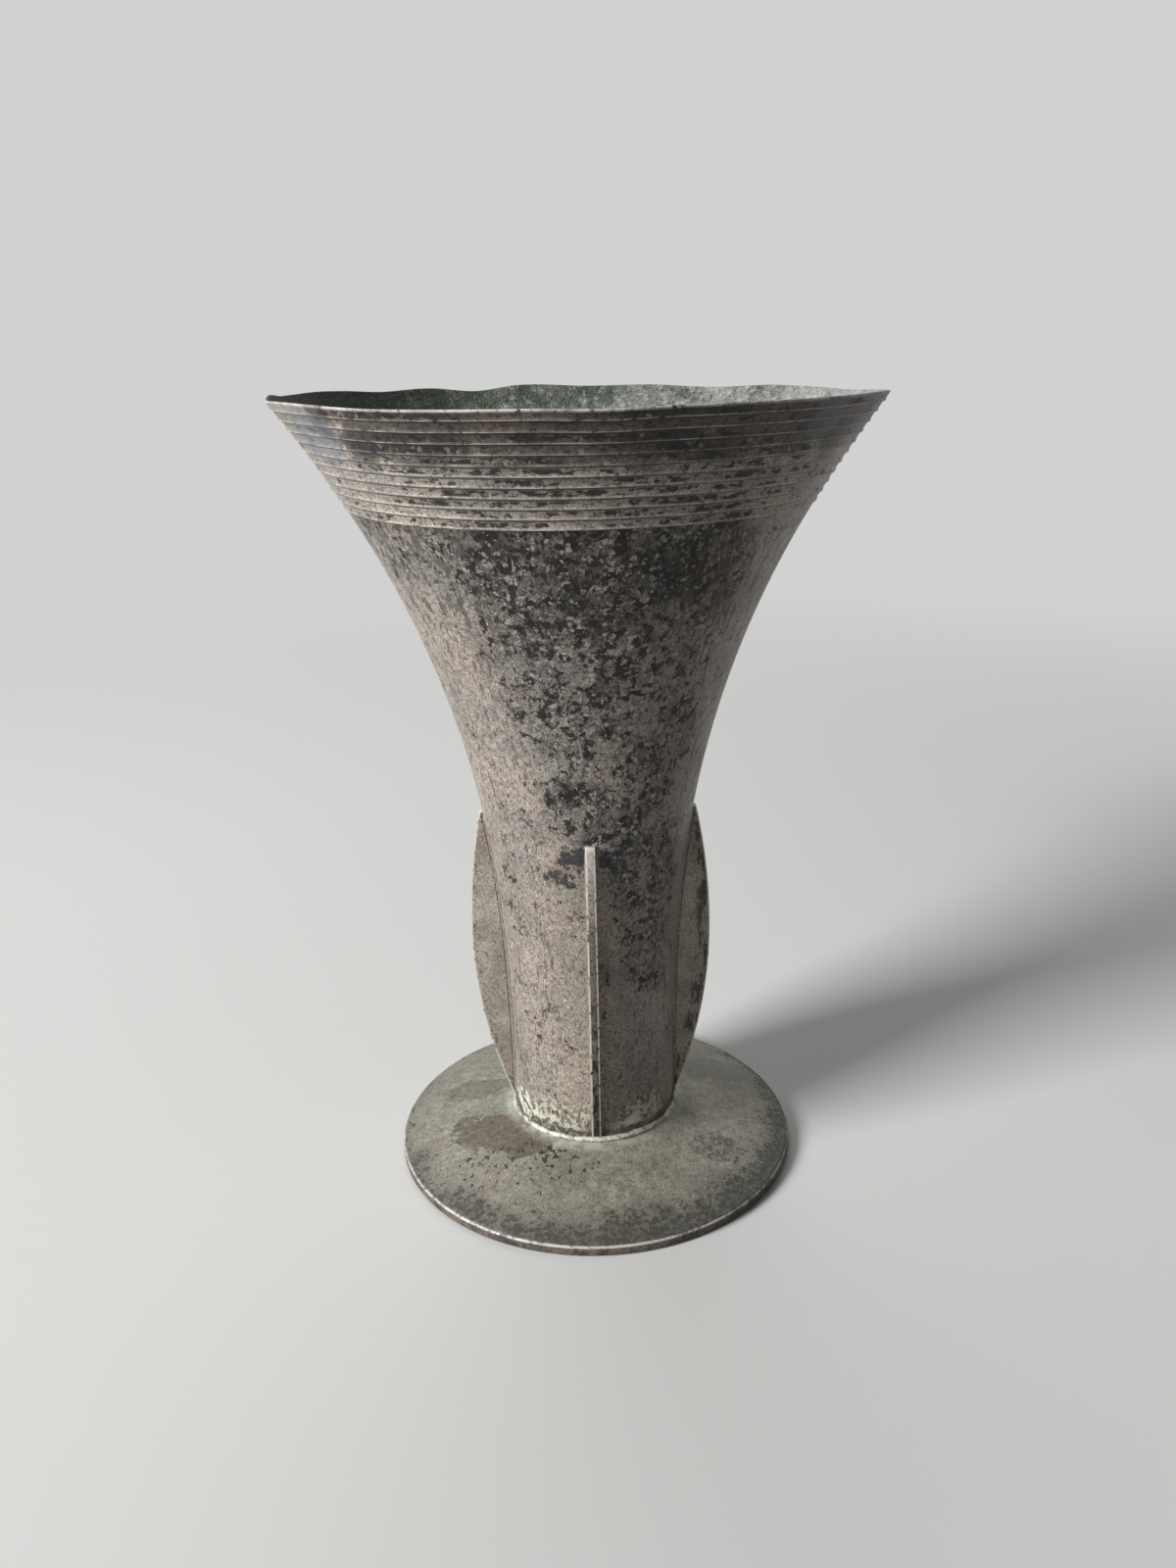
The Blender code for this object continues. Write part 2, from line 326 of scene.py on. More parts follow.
def bend_rim(shell, heights):
    """Pulls the rim up and down where it has been knocked."""
    for azimuth, reach, rise in RIM_WAVES:
        places = corners_of(shell)
        around = np.degrees(np.arctan2(places[:, 0], -places[:, 1])) - azimuth
        near = np.abs((around + 180) % 360 - 180) < RIM_GRIP
        pick(shell, shell.data.vertices, near & (heights > VASE_HEIGHT - RING_PITCH / 2))
        bpy.ops.transform.translate(value=(0, 0, rise * MM), use_proportional_edit=True,
                                    proportional_edit_falloff="SMOOTH", proportional_size=reach * MM)
        leave()


def make_shell(outside, rings, lining):
    """The spun shell, which keeps each vertex's height from before the bends for the rings' finish."""
    shell = turn("trumpet_body", shell_section(), SHELL_TURN_STEPS)
    for finish in (outside, rings, lining):
        shell.data.materials.append(finish)
    middles = np.zeros(len(shell.data.polygons) * 3)
    shell.data.polygons.foreach_get("center", middles)
    x, y, height = middles.reshape(-1, 3).T
    wall_middle = np.array([flare_offset(z, -SHELL_THICKNESS / 2) for z in height])
    outer_kinds = np.where(height > RINGS_BASE_HEIGHT - RING_PLATE_START * RING_PITCH, 1, 0)
    kinds = np.where(np.hypot(x, y) < wall_middle, 2, outer_kinds)
    shell.data.polygons.foreach_set("material_index", kinds.astype(np.int32))
    turned_heights = corners_of(shell)[:, 2]
    shell.data.attributes.new("turned_height", "FLOAT", "POINT").data.foreach_set("value", turned_heights)
    bend_rim(shell, turned_heights)
    finish_piece(shell, "trumpet_shell", SHELL_ANGLE)


# Foot

def foot_section():
    """The upper side outwards, the edge band with both its roundings, then the hollow underside inwards."""
    edge_start = FOOT_RADIUS - FOOT_TOP_ROUNDING
    radii = [BARREL_RADIUS + (edge_start - BARREL_RADIUS) * t ** FOOT_ROW_CROWDING
             for t in spaced(0, 1, FOOT_ROWS)]
    points = [(r, foot_top(r)) for r in radii]
    points += arc(edge_start, FOOT_EDGE_HEIGHT - FOOT_TOP_ROUNDING, FOOT_TOP_ROUNDING, pi / 2, 0)[1:]
    points += arc(FOOT_RADIUS - FOOT_BASE_ROUNDING, FOOT_BASE_ROUNDING, FOOT_BASE_ROUNDING, 0, -pi / 2)
    hollow = FOOT_RADIUS - FOOT_EDGE_WIDTH
    points += [(hollow, 0.0), (hollow, FOOT_HOLLOW_EDGE)]
    points += [(r, foot_top(r) - FOOT_THICKNESS) for r in reversed(radii) if r < hollow]
    return points


def make_foot(plate):
    foot = turn("foot_dish", foot_section(), FOOT_TURN_STEPS)
    foot.data.materials.append(plate)
    finish_piece(foot, "foot")


# Fins

def fin_outline():
    """The crescent seen from its side: outer edge upwards, rounded top, root down."""
    foot = FIN_FOOT_HEIGHT - SEAT_GAP
    round_start = FIN_TOP_HEIGHT - FIN_TOP_ROUNDING
    edge = [(fin_edge(z), z) for z in spaced(foot, round_start, 2 * FIN_ROWS)]
    edge += arc(fin_edge(round_start) - FIN_TOP_ROUNDING, round_start, FIN_TOP_ROUNDING, 0, pi / 2)[1:]
    root = [(flare_offset(z, -FIN_SINK), z) for z in spaced(FIN_TOP_HEIGHT, foot, FIN_ROWS)]
    return [(r, -FIN_THICKNESS / 2, z) for r, z in edge + root]


def make_fins(plate):
    """One crescent plate with rounded outer arrises, and a copy of it for each side."""
    fin = draw_outline("crescent", fin_outline())
    edit(fin)
    bpy.ops.mesh.edge_face_add()
    bpy.ops.mesh.extrude_region_move(TRANSFORM_OT_translate={"value": (0, FIN_THICKNESS, 0)})
    clean_up()
    leave()
    places = corners_of(fin)
    outside = [r > flare_offset(z, FIN_FOOT_WIDTH / 2) for r, _, z in places]
    arrises = []
    for line in fin.data.edges:
        a, b = line.vertices
        across = abs(places[a][1] - places[b][1])
        arrises.append(outside[a] and outside[b] and across < FIN_THICKNESS / 2)
    pick(fin, fin.data.edges, arrises, "EDGE")
    bpy.ops.mesh.bevel(offset=FIN_ARRIS, segments=3, affect="EDGES", profile=0.5, clamp_overlap=True)
    clean_up()
    bpy.ops.mesh.select_mode(type="VERT")
    leave()
    fin.data.materials.append(plate)
    for quarter, side in enumerate(SIDES):
        finish_piece(turned_copy(fin, "crescent_" + side, quarter), "fin_" + side)
    bpy.data.objects.remove(fin)


# Solder

def make_foot_solder(solder):
    """The bead in the corner between foot and shell, uneven as it was run by hand."""
    deselect_all()
    bpy.ops.mesh.primitive_torus_add(major_radius=NECK_RADIUS + BEAD_OUT, minor_radius=BEAD_RADIUS,
                                     major_segments=FOOT_TURN_STEPS, minor_segments=SOLDER_SIDES,
                                     location=(0, 0, FOOT_NECK_HEIGHT + BEAD_RISE))
    bead = bpy.context.object
    bead.name = bead.data.name = "solder_bead"
    fix_in_place()
    clouds = bpy.data.textures.new("uneven_bead", "CLOUDS")
    clouds.noise_scale = BEAD_LUMP_SIZE
    uneven = bead.modifiers.new("uneven", "DISPLACE")
    uneven.texture = clouds
    uneven.texture_coords = "GLOBAL"
    uneven.strength = BEAD_LUMP_HEIGHT
    bpy.ops.object.modifier_apply(modifier="uneven")
    bead.data.materials.append(solder)
    finish_piece(bead, "foot_solder_ring", pi)


def make_fin_strips(finish):
    """A bead of solder up each side of each fin, partly sunk into fin and shell."""
    across = FIN_THICKNESS / 2 + STRIP_ACROSS
    heights = spaced(FIN_FOOT_HEIGHT - SEAT_GAP, FIN_TOP_HEIGHT - FIN_TOP_ROUNDING, STRIP_ROWS)
    centres = [Vector((sqrt(flare_offset(z, STRIP_OUT) ** 2 - across ** 2), across, z)) for z in heights]
    quick, slow = STRIP_BEATS
    widths = [1.0 + STRIP_WAVER * sin(quick * i) * sin(slow * i) for i in range(STRIP_ROWS + 1)]
    widths[0] = widths[-1] = STRIP_END

    deselect_all()
    bpy.ops.mesh.primitive_circle_add(vertices=SOLDER_SIDES, radius=STRIP_RADIUS, fill_type="NGON",
                                      location=centres[0])
    strip = bpy.context.object
    fix_in_place()
    edit(strip)
    bpy.ops.transform.resize(value=(STRIP_END, STRIP_END, 1), center_override=centres[0])
    for low, high, before, after in zip(centres, centres[1:], widths, widths[1:]):
        bpy.ops.mesh.extrude_region_move(TRANSFORM_OT_translate={"value": high - low})
        bpy.ops.transform.resize(value=(after / before, after / before, 1), center_override=high)
    clean_up()
    leave()
    strip.data.materials.append(finish)
    for quarter, side in enumerate(SIDES):
        if side == "front":
            edit(strip)
            bpy.ops.transform.shrink_fatten(value=-FRONT_STRIP_THINNING)
            bpy.ops.transform.translate(value=(0, -FRONT_STRIP_SHIFT, 0))
            leave()
        for letter, flip in (("a", 1), ("b", -1)):
            run = turned_copy(strip, "solder_run_" + side + "_" + letter, quarter, flip)
            edit(run)
            clean_up()
            leave()
            finish_piece(run, "fin_solder_" + side + "_" + letter, pi)
    bpy.data.objects.remove(strip)


# Node trees

class Nodes:
    """A tree of nodes, put together one after another."""

    def __init__(self, owner):
        owner.use_nodes = True
        self.tree = owner.node_tree

    def feed(self, node, feeds):
        """Sets a node's sockets to numbers and colours, or joins them to other nodes' outputs."""
        for socket, value in feeds.items():
            target = node.inputs[socket]
            if isinstance(value, bpy.types.NodeSocket):
                self.tree.links.new(value, target)
            elif target.type == "RGBA":
                target.default_value = (*value, 1.0)
            else:
                target.default_value = value

    def add(self, kind, feeds=None, **settings):
        node = self.tree.nodes.new(kind)
        for key, value in settings.items():
            setattr(node, key, value)
        self.feed(node, feeds or {})
        return node

    def calc(self, operation, *values):
        return self.add("ShaderNodeMath", dict(enumerate(values)), operation=operation).outputs[0]

    def chain(self, operation, values):
        """Joins any number of values by one operation."""
        total = values[0]
        for value in values[1:]:
            total = self.calc(operation, total, value)
        return total

    def times(self, *values):
        return self.chain("MULTIPLY", values)

    def plus(self, *parts):
        """Adds up its parts, where a pair stands for a value and its weight."""
        return self.chain("ADD", [self.times(*part) if isinstance(part, tuple) else part for part in parts])

    def minus(self, value, less):
        return self.calc("SUBTRACT", value, less)

    def over(self, value, divider):
        return self.calc("DIVIDE", value, divider)

    def most(self, *values):
        return self.chain("MAXIMUM", values)

    def size(self, value):
        """The value without its sign."""
        return self.calc("ABSOLUTE", value)

    def length(self, a, b):
        return self.calc("SQRT", self.plus((a, a), (b, b)))

    def swing(self, value, gain=1.0):
        """A noise about nought, made stronger by a gain."""
        return self.times(self.minus(value, 0.5), gain)

    def fade(self, value, low, high, start=0.0, end=1.0, kind="SMOOTHSTEP"):
        """Runs smoothly from start to end while the value goes from low to high."""
        feeds = dict(enumerate((value, low, high, start, end)))
        return self.add("ShaderNodeMapRange", feeds, interpolation_type=kind).outputs[0]

    def reach(self, value, low, high, start=0.0, end=1.0, past=0.0):
        """A fade between two distances in millimetres past a place."""
        return self.fade(value, past + low * MM, past + high * MM, start, end)

    def seen(self):
        """One for what is seen straight or mirrored, and nought for light on its way to other things."""
        path = self.add("ShaderNodeLightPath").outputs
        return self.most(path["Is Camera Ray"], path["Is Glossy Ray"], path["Is Transmission Ray"])


class Finish(Nodes):
    """A surface's finish, whose colour is laid on in coats. Sizes and places are told in millimetres."""

    # Where soft things end: clouds and patches by half widths, crumbs by cells, and lots by chance
    CLOUD_EDGE = 1.9
    PATCH_EDGE = (1.15, 0.85)
    CRUMB_EDGE = (0.06, 0.14)
    LOT_EDGE = 0.02

    # Which way a noise is taken from elsewhere, and how strongly plain surfaces shine
    SHIFT_WAY = (1.0, 0.7, -1.3)
    SPECULAR = 0.3

    def __init__(self, name):
        self.material = bpy.data.materials.new(name)
        super().__init__(self.material)
        self.shader = self.tree.nodes["Principled BSDF"]
        self.place = self.add("ShaderNodeTexCoord").outputs["Object"]
        self.x, self.y, self.z = self.add("ShaderNodeSeparateXYZ", {0: self.place}).outputs
        self.radius = self.length(self.x, self.y)
        self.side = self.over(self.x, self.radius)
        self.depth = self.over(self.y, self.radius)
        self.azimuth = self.times(self.calc("ARCTAN2", self.x, self.times(self.y, -1.0)), 180 / pi)

    def vector(self, x, y, z):
        return self.add("ShaderNodeCombineXYZ", {0: x, 1: y, 2: z}).outputs[0]

    def around(self, spread, rise):
        """Coordinates that go round a circle with the azimuth and up with a rise, both told in metres."""
        return self.vector(self.times(self.side, spread), self.times(self.depth, spread), rise)

    def noise(self, size, detail, rough, where=None, shift=0.0):
        """Cloudy noise with patches up to about size across. A shift in metres takes it from elsewhere."""
        feeds = {"Vector": where or self.place, "Location": [shift * way for way in self.SHIFT_WAY]}
        moved = self.add("ShaderNodeMapping", feeds).outputs[0]
        feeds = {"Vector": moved, "Scale": 1.0 / (size * MM), "Detail": detail, "Roughness": rough}
        return self.add("ShaderNodeTexNoise", feeds).outputs["Fac"]

    def unrest(self, size, reach):
        """Object coordinates pushed about by up to a reach, so that cells lose their straight sides."""
        push = self.add("ShaderNodeTexNoise", {"Vector": self.place, "Scale": 1.0 / (size * MM)})
        moved = push.outputs["Color"]
        gain = (4.0 * reach * MM,) * 3
        for operation, other in (("SUBTRACT", (0.5, 0.5, 0.5)), ("MULTIPLY", gain), ("ADD", self.place)):
            moved = self.add("ShaderNodeVectorMath", {0: moved, 1: other}, operation=operation).outputs[0]
        return moved

    def voronoi(self, size, where, feature="F1"):
        feeds = {"Vector": where, "Scale": 1.0 / (size * MM)}
        return self.add("ShaderNodeTexVoronoi", feeds, feature=feature).outputs

    def lots(self, cells):
        """Three numbers by chance from nought to one for each of the cells."""
        return self.add("ShaderNodeSeparateColor", {0: cells["Color"]}).outputs

    def cells(self, size, where):
        """How far each place is from the edge of its cell, and a number by chance for each cell."""
        edge = self.voronoi(size, where, "DISTANCE_TO_EDGE")["Distance"]
        return edge, self.lots(self.voronoi(size, where))[0]

    def some(self, lot, share):
        """One in a share of the cells, and nought in the others."""
        return self.fade(lot, 1.0 - share, 1.0 - share + self.LOT_EDGE)

    def crumbs(self, cells, share):
        """Ragged crumbs that fill some of the cells, but for a gap round each."""
        return self.times(self.fade(cells[0], *self.CRUMB_EDGE), self.some(cells[1], share))

    def dots(self, size, share, reach, where=None):
        """Small round dots of uneven width in some of the cells."""
        cells = self.voronoi(size, where or self.place)
        lot, width, _ = self.lots(cells)
        edge = self.fade(width, 0.0, 1.0, reach * 0.45, reach, kind="LINEAR")
        inside = self.fade(self.minus(edge, cells["Distance"]), 0.0, reach * 0.35)
        return self.times(inside, self.some(lot, share))

    def cloudy(self, spots, height=None):
        """The strongest at each place of some soft clouds on the outside."""
        found = []
        for azimuth, level, half_angle, half_height, strength in spots:
            across = self.over(self.minus(self.azimuth, azimuth), half_angle)
            up = self.over(self.minus(height or self.z, level * MM), half_height * MM)
            far = self.plus((across, across), (up, up))
            found.append(self.fade(far, self.CLOUD_EDGE, 0.0, 0.0, strength))
        return self.most(*found)

    def turned(self, x, y, lean):
        """How far a place lies along a leaning line, and how far beside it."""
        along = self.plus((x, cos(lean)), (y, sin(lean)))
        return along, self.plus((y, cos(lean)), (x, -sin(lean)))

    def patch(self, spot, ragged):
        """A patch on the foot, with an edge as ragged as it is told."""
        x, y, lean, half_long, half_short = spot
        along, beside = self.turned(self.minus(self.x, x * MM), self.minus(self.y, y * MM), radians(lean))
        far = self.length(self.over(along, half_long * MM), self.over(beside, half_short * MM))
        return self.fade(self.plus(far, ragged), *self.PATCH_EDGE)

    def scratch(self, start, end, width):
        """A thin line between two points of the front view, each as (x, z)."""
        run_x, run_z = end[0] - start[0], end[1] - start[1]
        length = sqrt(run_x ** 2 + run_z ** 2)
        from_start = self.minus(self.x, start[0] * MM), self.minus(self.z, start[1] * MM)
        along, beside = self.turned(*from_start, atan2(run_z, run_x))
        line = self.reach(self.size(beside), width, width * 0.4)
        span = self.times(self.reach(along, 0.0, length * 0.08), self.reach(along, length, length * 0.85))
        return self.times(line, span, self.reach(self.y, 0.0, -5.0))

    def mix(self, amount, below, above, blend="MIX"):
        feeds = {0: amount, 6: below, 7: above}
        return self.add("ShaderNodeMix", feeds, data_type="RGBA", blend_type=blend).outputs[2]

    def shade(self, colour, *parts):
        """Makes a colour lighter or darker by parts that add up to about 1."""
        return self.mix(1.0, colour, self.plus(*parts), blend="MULTIPLY")

    def base(self, value, low, high, below, above):
        """Starts with one colour where a value is low, and another where it is high."""
        self.colour = self.mix(self.fade(value, low, high), below, above)

    def coat(self, colour, *covers):
        """Lays a colour over what is there, as thickly as all its covers together allow."""
        self.colour = self.mix(self.times(*covers), self.colour, colour)

    def vary(self, *parts):
        """Makes what is there lighter or darker."""
        self.colour = self.shade(self.colour, *parts)

    def bump(self, height, strength, distance):
        feeds = {"Height": height, "Strength": strength, "Distance": distance * MM}
        self.feed(self.shader, {"Normal": self.add("ShaderNodeBump", feeds).outputs[0]})

    def done(self, roughness, metallic):
        self.feed(self.shader, {"Base Color": self.colour, "Roughness": roughness, "Metallic": metallic,
                                "Specular IOR Level": self.SPECULAR})
        return self.material


def tone(red, green, blue):
    """A colour as it is seen, with each part from 0 to 255."""
    parts = [part / 255 for part in (red, green, blue)]
    return tuple(p / 12.92 if p <= 0.04045 else ((p + 0.055) / 1.055) ** 2.4 for p in parts)


# Tones of the outside
PLATE_WARM = tone(163, 152, 141)
PLATE_GREY = tone(148, 142, 134)
PLATE_BRIGHT = tone(190, 183, 173)
WORN_BRIGHT = tone(212, 208, 200)
CLOUD = tone(98, 95, 91)
FRINGE = tone(74, 71, 67)
SOOT = tone(56, 55, 53)
SOOT_BROWN = tone(44, 42, 40)
CHARCOAL = tone(20, 19, 18)
BROWN_SPECK = tone(84, 74, 66)
BROWN_STAIN = tone(128, 110, 98)
RED_BROWN = tone(118, 93, 83)
BLUE_STAIN = tone(42, 45, 49)
RESIDUE = tone(210, 208, 194)
RESIDUE_YELLOW = tone(168, 164, 142)
CRUST_BED = tone(74, 71, 62)
GRIME = tone(66, 64, 58)

# Tones of the rings
SMOKE_BROWN = tone(78, 70, 64)
SMOKE_GREY = tone(28, 28, 29)
STEP_SHADE_AND_DIRT = tone(46, 43, 40)
# Lip and rim tones: burnished wear, with a painted highlight
LIP_DULL = tone(158, 150, 141)
LIP_BRIGHT = tone(216, 209, 199)
RIM_DULL = tone(150, 144, 135)
RIM_BRIGHT = tone(196, 190, 180)
BLUE_SHEEN = tone(108, 118, 128)

# Tones of the lining
LINING_PALE = tone(152, 151, 149)
LINING_CHIP = tone(172, 172, 166)
LINING_GREEN = tone(86, 94, 82)
LINING_DARK = tone(54, 59, 52)
VERDIGRIS = tone(80, 101, 88)

# Tones of the foot
FOOT_GREEN_GREY = tone(126, 127, 113)
FOOT_PALE = tone(141, 139, 126)
FOOT_WARM = tone(133, 127, 117)
FOOT_BROWN = tone(126, 118, 108)
FOOT_PATCH_BROWN = tone(94, 83, 75)
FOOT_BRUISE = tone(74, 65, 58)
FOOT_SMOKE = tone(96, 95, 87)
FOOT_DARK = tone(60, 61, 56)
FOOT_PIT = tone(38, 38, 33)
FOOT_COLLAR = tone(180, 181, 168)
EDGE_PINK = tone(112, 102, 94)
EDGE_BROWN = tone(76, 71, 66)
EDGE_DARK = tone(48, 45, 42)

# Tones of the fins and the solder
FIN_DULL = tone(149, 142, 130)
FIN_PALE = tone(166, 159, 147)
FIN_BROWN = tone(118, 104, 94)
FIN_TARNISH = tone(104, 93, 84)
FIN_ARRIS_BRIGHT = tone(208, 201, 191)
STRIP_PALE = tone(150, 142, 132)
STRIP_DULL = tone(128, 121, 112)
SOLDER_PALE = tone(206, 203, 191)
SOLDER_DULL = tone(132, 130, 120)
SOLDER_DIRT = tone(104, 102, 94)

# Clouds on the outside: azimuth, height, half widths in degrees and millimetres, and strength
DARK_CLOUDS = (
    (3, 206, 39, 27, 0.85), (24, 208, 20, 15, 1.05), (-24, 215, 9, 6, 1.00), (2, 174, 31, 33, 0.66),
    (22, 145, 28, 40, 0.50), (-8, 138, 17, 15, 0.56), (3, 132, 9, 17, 0.70), (20, 119, 15, 16, 0.75),
    (40, 98, 24, 33, 0.60), (-16, 229, 19, 12, 0.85), (18, 233, 32, 13, 0.70), (-52, 212, 20, 12, 0.45),
    (-45, 80, 36, 55, 0.14),
)
RED_CLOUDS = ((50, 206, 19, 18, 1.0),)
LEFT_STREAKS = ((-45, 208, 24, 20, 1.0),)
RIGHT_STREAKS = ((45, 200, 22, 26, 0.8),)
BLUE_SMEARS = ((-8.5, 116.5, 10, 4.4, 1.15), (-18, 110.5, 9, 3.8, 0.95), (11, 116.5, 9, 3.4, 1.0))
SHEENS = ((-55, 241.5, 9, 8, 1.0), (46, 245, 5, 6, 1.0))

# Heights on the outside, in millimetres, from where a look starts to where it is full
PATCHY = (90, 150)
SPECKLED = (135, 100)
SMEARS_BASE = (98, 104)
SMEARS_TOP = (124, 120)
SEAMS_TOP = (123, 118)
CRUST_TOP = (28, 18.5)
GRIME_TOP = (18.7, 16.8)

# How far the dark seam lines, dirt with painted crease shade, run from the middle of a side fin on the shell,
# and from the fin's root on the fin
SHELL_SEAM = 2.75 * MM
FIN_SEAM = 0.95 * MM

# Azimuths in degrees where the blue smears end, and where the smoke on the rings ends, and its bands
SMEARS_SIDE = (30, 24)
SMOKE_LEFT = (-56, -44)
SMOKE_RIGHT = (150, 120)
SMOKE_BANDS = (5, 3)

# Heights on the fins, told in the same way
FIN_BROWN_FROM = (98, 112)
FIN_TARNISH_TOP = (112, 96)
FIN_DARK_TOP = (78, 50)
FIN_RUBBED_FROM = (104, 118)

# Scratches on the front, each as two (x, z) ends and half its width, in millimetres
SCRATCHES = (((-18.5, 212.5), (-17.6, 201.0), 0.26), ((35.0, 214.0), (36.6, 201.5), 0.26),
             ((-3.0, 159.0), (-0.8, 144.5), 0.30))

# Patches on the foot: middle, lean of the long side in degrees, and half widths in millimetres
BRUISE = (39.5, -25.0, 0, 8.5, 6.0)
SMOKE_BEHIND = (42.0, 22.0, 0, 13.0, 9.0)

# The brown ones, and those with pits, also have a strength
BROWN_PATCHES = ((-31.5, -17.8, -22, 18.5, 9.2, 0.85), (-43.0, 12.0, 0, 12.0, 6.0, 0.45))
PITTED = ((-29.0, -30.5, 0, 19.0, 5.0, 1.0), (-27.0, -36.0, 0, 26.0, 11.0, 0.45),
          (-15.0, -30.8, 0, 4.2, 2.6, 1.8))


# Finishes

def darkening(f, height):
    """How far the plate has darkened, from nought to one: by the clouds in front, by chance at the back."""
    by_chance = f.times(f.fade(f.noise(34, 3.0, 0.6), 0.40, 0.68), f.fade(f.depth, -0.2, 0.3))
    return f.most(by_chance, f.cloudy(DARK_CLOUDS, height))


def flare_finish():
    """Outside of the barrel and the flare: plate with blotches, islands, crumbs and specks."""
    f = Finish("worn_flare_plate")
    upright = f.vector(f.x, f.y, f.times(f.z, 0.65))
    clouds = f.noise(10, 4.0, 0.62, shift=0.31)
    stains = f.noise(20, 3.0, 0.6, shift=1.9)
    blotch = f.noise(3.6, 6.0, 0.75)
    speck = f.noise(1.5, 4.0, 0.70, upright, 1.3)
    small_speck = f.noise(0.8, 3.0, 0.65, upright, 1.7)
    islands = f.noise(2.2, 5.0, 0.72, shift=2.2)
    fine = f.noise(0.5, 2.0, 0.6, shift=0.7)
    flakes = f.noise(2.0, 4.0, 0.62, shift=4.1)
    streak = f.noise(1.5, 4.0, 0.65, f.around(0.045, f.times(f.z, 0.24)))
    calm = f.fade(f.noise(6, 4.0, 0.6, shift=5.2), 0.52, 0.58)
    density = f.plus(darkening(f, f.z), f.swing(clouds, 1.6))

    pushed = f.unrest(0.9, 0.35)
    chips = f.cells(1.8, pushed)
    small_chips = f.cells(1.1, pushed)
    cracks = f.voronoi(2.3, f.unrest(1.8, 1.3), "DISTANCE_TO_EDGE")["Distance"]
    field = f.plus(blotch, (density, 0.125), (cracks, -0.12), f.swing(chips[1], -0.09), (calm, -0.045),
                   f.swing(small_chips[1], -0.05), f.fade(density, 0.05, 0.40, -0.025, 0.010))
    black = f.fade(field, 0.598, 0.608)
    low = f.reach(f.z, *SPECKLED)
    specks = f.fade(f.plus(speck, (density, 0.07), (low, 0.006)), 0.594, 0.610)
    small_specks = f.fade(f.plus(small_speck, (low, 0.020)), 0.610, 0.640)
    grey = f.fade(f.plus(density, f.swing(islands, 3.0)), 0.32, 0.62)
    crumbs = f.times(f.most(f.crumbs(chips, 0.26), f.crumbs(small_chips, 0.20)),
                     f.fade(density, 0.10, 0.6), f.fade(calm, 0.9, 0.1, 0.15, 1.0))
    glints_and_bare_dots = f.dots(2.2, 0.24, 0.15, pushed)

    f.base(stains, 0.44, 0.6, PLATE_WARM, PLATE_GREY)
    f.coat(BROWN_STAIN, f.fade(clouds, 0.54, 0.66), f.fade(stains, 0.40, 0.56), 0.45)
    f.coat(CLOUD, grey, 0.72)
    f.coat(SOOT, f.fade(f.plus(density, f.swing(islands, 2.0)), 0.70, 0.95), 0.70)
    f.coat(FRINGE, f.fade(field, 0.556, 0.600), 0.5)
    patchy = f.times(f.swing(islands), f.reach(f.z, *PATCHY, 1.5, 2.8))
    f.vary(1.04, patchy, f.swing(fine, 2.3), f.swing(speck, 1.8))
    f.coat(f.mix(f.fade(islands, 0.42, 0.58), SOOT_BROWN, CHARCOAL), black, 0.96)
    speck_tone = f.mix(f.fade(density, 0.1, 0.5), BROWN_SPECK, CHARCOAL)
    f.coat(speck_tone, f.most(specks, small_specks), 0.75)
    f.coat(f.mix(f.fade(islands, 0.42, 0.54), CLOUD, PLATE_BRIGHT), crumbs, 0.68)
    # White dots: partly bared plate, partly painted glints
    f.coat(WORN_BRIGHT, glints_and_bare_dots, 0.95)

    f.coat(RED_BROWN, f.cloudy(RED_CLOUDS), f.fade(stains, 0.40, 0.54), f.fade(streak, 0.42, 0.56), 0.55)
    marked = f.plus(0.3, f.cloudy(LEFT_STREAKS), f.cloudy(RIGHT_STREAKS))
    streaks = f.fade(f.plus(streak, (marked, 0.045)), 0.606, 0.620)
    streak_tone = f.mix(f.fade(islands, 0.45, 0.55), BROWN_SPECK, CLOUD)
    f.coat(streak_tone, streaks, f.fade(f.size(f.side), 0.25, 0.6), 0.85)
    smear = f.plus((f.cloudy(BLUE_SMEARS), 0.5), f.swing(blotch, 2.2), f.swing(islands, 1.8))
    smear = f.times(f.fade(smear, 0.16, 0.44), f.fade(f.size(f.azimuth), *SMEARS_SIDE))
    by_fin = f.times(f.reach(f.z, *SMEARS_BASE), f.reach(f.z, *SMEARS_TOP))
    f.coat(f.shade(BLUE_STAIN, 1.0, f.swing(islands, 6.0)), smear, by_fin, 0.90)
    for scratch in SCRATCHES:
        f.coat(PLATE_BRIGHT, f.scratch(*scratch), f.fade(islands, 0.42, 0.56), 0.7)
    # Dark line along the crease beside each side fin's solder strip: dirt and painted crease shade
    seam_dirt_and_shade = f.reach(f.size(f.minus(f.size(f.y), SHELL_SEAM)), 0.32, 0.12)
    f.coat(CHARCOAL, seam_dirt_and_shade, f.reach(f.z, *SEAMS_TOP), f.fade(islands, 0.36, 0.48), 0.8)

    crust_zone = f.reach(f.minus(f.z, f.swing(clouds, 0.018)), *CRUST_TOP)
    crust = f.times(f.fade(crust_zone, 0.0, 0.2), f.fade(f.plus(flakes, (crust_zone, 0.11)), 0.560, 0.590))
    f.coat(CRUST_BED, crust_zone, f.minus(1.0, crust), 0.60)
    crust_tone = f.mix(f.fade(f.plus(fine, f.swing(stains, 1.5)), 0.40, 0.56), RESIDUE_YELLOW, RESIDUE)
    f.coat(crust_tone, crust, 0.88)
    f.coat(GRIME, f.reach(f.z, *GRIME_TOP), f.fade(clouds, 0.38, 0.50), 0.75)

    f.bump(f.plus((patchy, 0.8), (blotch, -1.2), (fine, 0.6), (crumbs, 0.6), (specks, -0.4), (crust, 1.2),
                  (glints_and_bare_dots, 0.4)), 0.75, 0.28)
    return f.done(f.plus(0.40, (grey, 0.08), (black, 0.12), (crust, 0.3), f.swing(speck, 0.4)),
                  f.most(0.0, f.plus(0.20, (black, -0.18), (crust, -0.20))))


